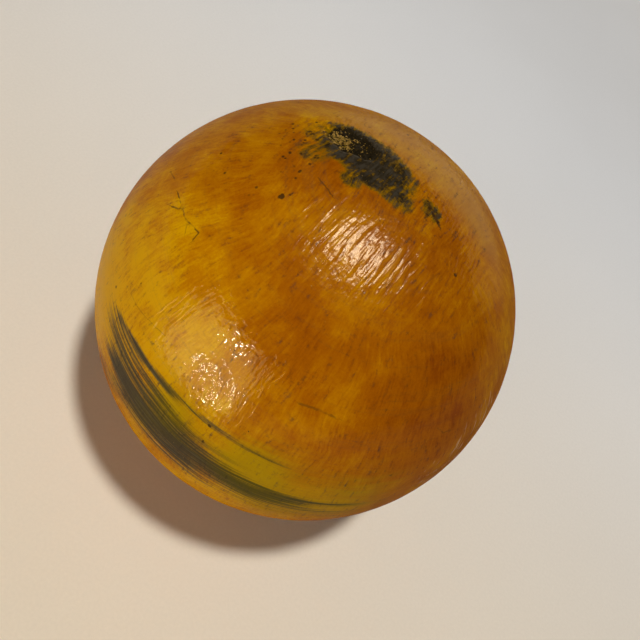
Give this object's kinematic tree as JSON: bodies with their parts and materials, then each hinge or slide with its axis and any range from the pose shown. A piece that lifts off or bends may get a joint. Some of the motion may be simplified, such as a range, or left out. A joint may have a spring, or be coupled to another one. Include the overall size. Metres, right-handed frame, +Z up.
{
  "type": "playground ball",
  "caption": "Small hollow rubber ball for playground games: a two-piece rubber cover over a thread-wound air bladder, with a needle valve and plug set flush in the wall.",
  "frame": {"origin": "centre of the ball", "axes": "+Z up along the axis of the mould, so the cover's parting line is z = 0; +Y along the valve, pointing out of the ball; +X to the right when looking along +Y"},
  "size_m": [0.127, 0.1266, 0.127],
  "materials": {
    "cover_rubber": "glossy amber coat over yellow, brushed, worn and stained dark in places",
    "winding_thread": "latex-dipped nylon thread, wound in every direction",
    "patch_rubber": "matt",
    "bladder_rubber": "smooth black butyl",
    "boot_rubber": "satin, dusty",
    "plug_rubber": "soft, slightly oily"
  },
  "bodies": {
    "ball": {"upper_cover_half": "cover_rubber", "lower_cover_half": "cover_rubber", "nylon_winding": "winding_thread", "valve_patch": "patch_rubber", "bladder": "bladder_rubber", "valve_boot": "boot_rubber"},
    "plug": {"valve_plug": "plug_rubber"}
  },
  "joints": [
    {"name": "plug_slide", "type": "slide", "parent": "ball", "child": "plug", "axis": [0, 1, 0], "range_m": [0, 0.0135]}
  ]
}
